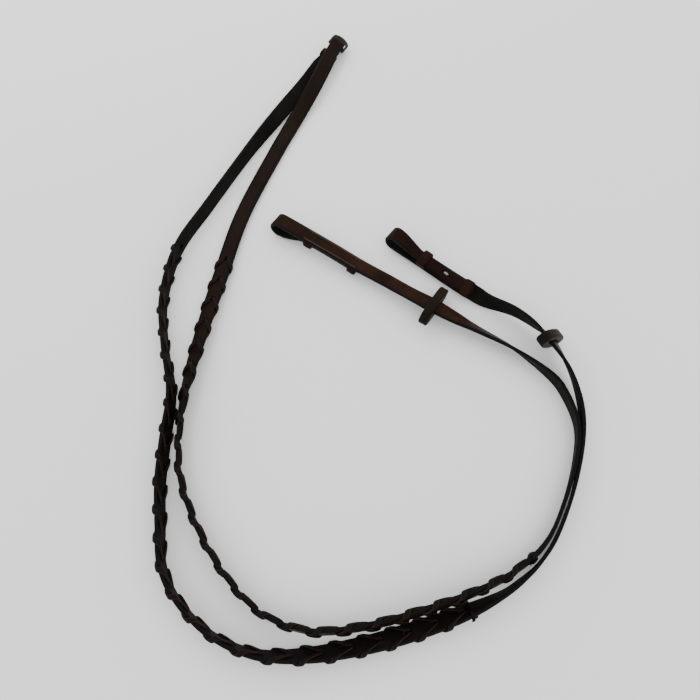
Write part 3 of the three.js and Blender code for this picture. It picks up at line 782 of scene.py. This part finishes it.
def tie_mesh(path, start):
    """The thongs' last wraps, with the cut end left sticking out at the edge."""
    middle = start + LACE_TURNS * LACE_PITCH + 6.5
    half_across = STRAP_WIDTH / 2 + 0.7
    half_grain = STRAP_THICKNESS / 2 + 0.8
    inner = wound_mesh(
        lambda t: path.at(middle - 2 + 3.6 * t), 2.2, half_across, half_grain, 2.8, 1.4, 0.6
    )
    outer = wound_mesh(
        lambda t: path.at(middle + 1.6 - 2.6 * t), 0.8, half_across + 0.5, half_grain + 0.8, 2.8, 1.3, 1.1
    )
    out = np.array([7.5, 8.3, 9.0, 9.6, 10.1, 10.4])
    frame = path.at(np.full(len(out), middle + 0.4))
    along = np.linspace(-1.4, -2.6, len(out))
    centres = frame.point(along=along, across=out, grain=1.0 + 0.05 * (out - 7) ** 2)
    wide = frame.along * 1.5
    tag = loft(ribbon_rings(centres, wide, frame.grain * 0.65, superellipse(10)))
    return join([inner, outer, tag])


# ---------------------------------------------------------------- bit end pieces


def bit_frames(path, back):
    """The main strap's frames at distances back from the end of the bit loop."""
    return path.at(path.loop_end - np.asarray(back, float))


def lining_mesh(path):
    """The short strap stitched behind the bit end, its two ends skived thin."""
    rows = [(LINING["to"], 8, 0.9), (LINING["to"] - 5, LINING["width"], LINING["thickness"])]
    rows += [(LINING["from"] + 4, LINING["width"], LINING["thickness"]), (LINING["from"], 11, 1.4)]
    back, width, thickness = spline(rows, 8).T
    frames = bit_frames(path, back)
    centres = frames.point(grain=np.full(len(back), -LINING_LEVEL))
    wide = frames.across * (width / 2)[:, None]
    thin = frames.grain * (thickness / 2)[:, None]
    return loft(ribbon_rings(centres, wide, thin, superellipse(16, 7)))


def keeper_mesh(path, back):
    """A leather loop round the lining and the billet, its ply rounded at both rims."""
    low, high = -STRAP_THICKNESS / 2 + 0.5, -(BILLET_LEVEL + BILLET_THICKNESS / 2 + 1.0)
    outline = superellipse(40, 6)
    half_across = LINING["width"] / 2 + 0.8
    middle, half_grain = (low + high) / 2, (low - high) / 2
    frame = bit_frames(path, np.full(len(outline), back))
    centres = frame.point(across=outline[:, 0] * half_across, grain=middle + outline[:, 1] * half_grain)
    around = np.roll(centres, -1, 0) - np.roll(centres, 1, 0)
    thin = unit(np.cross(around, frame.along)) * KEEPER_THICKNESS / 2
    wide = frame.along * KEEPER_WIDTH / 2
    return loft(ribbon_rings(centres, wide, thin, superellipse(14, 4)), closed=True)


def stud_mesh(path):
    """A steel hook stud: a round foot on the lining, a post and a long rounded head."""
    frame = bit_frames(path, STUD_STATION)
    circle = superellipse(20, 2)
    top = BILLET_LEVEL + BILLET_THICKNESS / 2
    foot, post = 1.9, 1.2
    profile = [(foot, LINING_LEVEL + 0.9), (foot, LINING_LEVEL + 1.1)]
    profile += [(post + 0.1, LINING_LEVEL + 1.4), (post, top + 0.3)]
    rings = []
    for radius, level in profile:
        x, y = circle[:, 0] * radius, circle[:, 1] * radius
        rings.append(frame.point(along=x, across=y, grain=np.full(len(x), -level)))
    stem = loft(rings)
    shares = np.linspace(-1, 1, 15)
    swell = np.sqrt(np.clip(1 - np.abs(shares) ** 3.2, 0.01, 1))
    rings = []
    for share, size in zip(shares, swell):
        x = np.full(len(circle), -0.4 + share * 2.7)
        across, up = circle[:, 0] * 0.8 * size, circle[:, 1] * 0.6 * size
        rings.append(frame.point(along=x, across=across, grain=-top + 0.2 + up))
    return join([stem, loft(rings)])


def stitch_mesh(path, side):
    """A row of stitches on the grain side, each one a short slanted bar sunk at both ends."""
    shares = np.linspace(-1, 1, 7)
    swell = np.sqrt(np.clip(1 - shares**4, 0.02, 1))
    parts = []
    for back in np.arange(LINING["from"] + 2, LINING["to"] - 3, STITCH["pitch"]):
        frames = bit_frames(path, back + shares * STITCH["half_length"])
        level = STRAP_THICKNESS / 2 + 0.2 - 0.35 * shares**2
        centres = frames.point(across=side * STITCH_ROW + STITCH_SLANT * shares, grain=level)
        wide = frames.across * (STITCH["half_width"] * swell)[:, None]
        thin = frames.grain * (STITCH["half_height"] * swell)[:, None]
        parts.append(loft(ribbon_rings(centres, wide, thin, superellipse(8, 2))))
    return join(parts)


# ---------------------------------------------------------------- rein stop


def stop_outline(count):
    """The stop seen along the strap: a flat lens with blunt rounded ends, by even angles."""
    half_across, half_grain = STOP["across"] / 2, STOP["height"] / 2
    angles = np.arange(count) * 2 * math.pi / count
    c, s = np.cos(angles), np.sin(angles)
    out = np.zeros((count, 2))
    for i in range(count):
        low, high = 0.0, half_across * 1.5
        for _ in range(40):
            middle = (low + high) / 2
            x, y = abs(middle * c[i]), abs(middle * s[i])
            share = x / half_across
            blunt = max(0.0, 1 - share**STOP_BLUNTNESS) ** 0.5
            inside = share < 1 and y <= half_grain * (1 - STOP_TAPER * share**2) * blunt
            low, high = (middle, high) if inside else (low, middle)
        out[i] = low * c[i], low * s[i]
    return out


def stop_mesh(path, s):
    """A thick block of leather with rounded rims and a slot that the strap runs through."""
    count = 72
    outline = stop_outline(count)
    way = unit(outline)
    sides = np.abs(way) * 2 / (STOP["slot_across"], STOP["slot_height"])
    power = STOP_SLOT_POWER
    slot = way * np.sum(sides**power, -1, keepdims=True) ** (-1 / power)
    half = STOP["along"] / 2
    frame = path.at(np.full(count, s))
    inset = way * STOP_RIM
    profile = [
        (slot, -half + 0.4),
        (slot + way * 0.4, -half),
        (outline - inset * 1.3, -half),
        (outline - inset * 0.35, -half + 0.45),
        (outline, -half + 1.4),
        (outline - inset * 0.15, 0.0),
        (outline, half - 1.4),
        (outline - inset * 0.35, half - 0.45),
        (outline - inset * 1.3, half),
        (slot + way * 0.4, half),
        (slot, half - 0.4),
    ]
    rings = [frame.point(along=np.full(count, z), across=xy[:, 0], grain=xy[:, 1]) for xy, z in profile]
    return loft(rings, closed=True)


# ---------------------------------------------------------------- buckle


def buckle_frame_at(count):
    """The heel bar's frame, repeated: along points past the outer bar and grain points up."""
    ones = np.ones((count, 1))
    return Frame((HEEL_BAR - CENTRE) * ones, BUCKLE_HEADING * ones, BUCKLE_ACROSS * ones)


def buckle_frame_mesh():
    """A stirrup buckle: straight sides, an arched outer bar and a round heel bar."""
    corners = [(-9.1, -3.8), (-9.1, 0), (-9.1, 4.5), (-8.7, 7.2), (-7.3, 8.8), (-4, 10.2), (0, 10.8)]
    corners += [(-x, y) for x, y in reversed(corners[:-1])]
    across, along = spline(corners, 4).T
    frame = buckle_frame_at(len(along))
    centres = frame.point(along=along, across=across)
    half = np.interp(along, [4.5, 9.0], [1.3, 1.9])
    thin = np.cross(travel(centres), frame.grain) * half[:, None]
    hoop = loft(ribbon_rings(centres, frame.grain * 1.5, thin, superellipse(16, 3)))
    across = np.array([-9.4, -9, -8, 8, 9, 9.4])
    frame = buckle_frame_at(len(across))
    size = np.array([0.7, 1.5, HEEL_BAR_RADIUS, HEEL_BAR_RADIUS, 1.5, 0.7])[:, None]
    wide, thin = frame.along * size, frame.grain * size
    bar = loft(ribbon_rings(frame.point(across=across), wide, thin, superellipse(20, 2)))
    return join([hoop, bar])


def tongue_mesh():
    """A pin bent round the heel bar that reaches under the outer bar."""
    angles = np.radians(np.linspace(-330, -75, 14))
    radius = HEEL_BAR_RADIUS + 0.3 + 0.5
    rows = [(radius * math.cos(a), radius * math.sin(a)) for a in angles]
    rows += [(4.5, -2.7), (7, -3.0), (10, -3.0), (13.4, -3.0)]
    along, grain = np.array(rows).T
    frame = buckle_frame_at(len(rows))
    centres = frame.point(along=along, grain=grain)
    thin = np.cross(travel(centres), frame.across) * 0.5
    return loft(ribbon_rings(centres, frame.across * 1.15, thin, superellipse(12, 3)))


def buckle_keeper_mesh(path):
    """The leather loop that holds the point rein's tip under the buckle rein."""
    outline = superellipse(40, 6)
    s = Path(chape_table()).length - 4.5
    frame = path.at(np.full(len(outline), s))
    low, high = -2.2, 5.0
    across = outline[:, 0] * (STRAP_WIDTH / 2 + 1)
    centres = frame.point(across=across, grain=(low + high) / 2 + outline[:, 1] * (high - low) / 2)
    around = np.roll(centres, -1, 0) - np.roll(centres, 1, 0)
    thin = unit(np.cross(around, frame.along)) * 0.6
    return loft(ribbon_rings(centres, frame.along * 4, thin, superellipse(14, 4)), closed=True)


# ---------------------------------------------------------------- assembly


def add_rein(name, path, materials):
    """One half's pieces: its strap, the strap's centre line in metres, and all the rest."""
    lacing, stop = REINS[name]["lacing"], REINS[name]["stop"]
    grain = materials["buckle_grain" if name == "buckle_rein" else "point_grain"]

    def piece(part, mesh, material, body="reins"):
        verts, faces, *uvs = mesh
        nodes = [f"{name}_{part}"]
        uvs = uvs[0] if uvs else None
        return make_piece(f"{name}_{part}_leather", verts, faces, [materials[material]], body, nodes, uvs=uvs)

    verts, faces, indices, uvs, centre_line = strap_mesh(path, lacing)
    strap = make_piece(
        f"{name}_strap_leather",
        verts,
        faces,
        [grain, materials["flesh"], materials["edge"]],
        "reins",
        [f"{name}_strap"],
        indices,
        uvs,
        sharp=40,
    )
    parts = [
        piece("lace_left", lace_mesh(path, lacing, 1), "lace"),
        piece("lace_right", lace_mesh(path, lacing, -1), "lace"),
        piece("lace_tie", tie_mesh(path, lacing), "lace"),
        piece("stud_lining", lining_mesh(path), "strip"),
        piece("bit_keeper", keeper_mesh(path, KEEPER_STATIONS[0]), "strip"),
        piece("tip_keeper", keeper_mesh(path, KEEPER_STATIONS[1]), "strip"),
        piece("hook_stud", stud_mesh(path), "steel"),
        piece("stitching_left", stitch_mesh(path, 1), "thread"),
        piece("stitching_right", stitch_mesh(path, -1), "thread"),
        piece("stop", stop_mesh(path, stop), "stop", f"{name}_stop"),
    ]
    return strap, centre_line * MM, parts


def add_buckle(path, materials):
    metal_ = [materials["dark_metal"]]
    make_piece("buckle_frame_metal", *buckle_frame_mesh(), metal_, "buckle_frame", ["buckle_frame"])
    make_piece("buckle_tongue_metal", *tongue_mesh(), metal_, "buckle_tongue", ["buckle_tongue"])
    strip = [materials["strip"]]
    make_piece("buckle_keeper_leather", *buckle_keeper_mesh(path), strip, "reins", ["buckle_keeper"])


def add_floor():
    """The pale surface, just under the reins."""
    mesh = bpy.data.meshes.new("floor")
    half = 3.0
    corners = [(-half, -half, 0), (half, -half, 0), (half, half, 0), (-half, half, 0)]
    mesh.from_pydata(corners, [], [(0, 1, 2, 3)])
    nodes = Nodes("floor")
    nodes.shader.inputs["Base Color"].default_value = (0.9, 0.9, 0.9, 1)
    nodes.shader.inputs["Roughness"].default_value = 0.9
    nodes.shader.inputs["Specular IOR Level"].default_value = 0.1
    mesh.materials.append(nodes.material)
    floor = bpy.data.objects.new("floor", mesh)
    floor.location.z = -0.0003
    bpy.context.scene.collection.objects.link(floor)


def add_light(name, position, size, power):
    """A square area light that points at the origin."""
    data = bpy.data.lights.new(name, "AREA")
    data.size = size
    data.energy = power
    light = bpy.data.objects.new(name, data)
    place = np.array(position, float)
    light.location = place
    way = unit(-place)
    light.rotation_euler = (math.acos(-way[2]), 0, math.atan2(way[0], -way[1]))
    bpy.context.scene.collection.objects.link(light)


def add_lights():
    world = bpy.data.worlds.new("studio")
    bpy.context.scene.world = world
    world.use_nodes = True
    background = world.node_tree.nodes["Background"]
    background.inputs["Color"].default_value = (1, 1, 1, 1)
    background.inputs["Strength"].default_value = 1.6
    add_light("key", (-0.5, 1.1, 1.4), 0.8, 26)
    add_light("fill", (1.0, -0.5, 1.6), 1.2, 3)


add_camera()
MATERIALS = make_materials()
buckle_rein = strap_path(chape_table(), BUCKLE_REIN_ROUTE)
point_rein = strap_path(tip_fold_table(), POINT_REIN_ROUTE)
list(add_rein("buckle_rein", buckle_rein, MATERIALS))
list(add_rein("point_rein", point_rein, MATERIALS))
add_buckle(buckle_rein, MATERIALS)
add_floor()
add_lights()
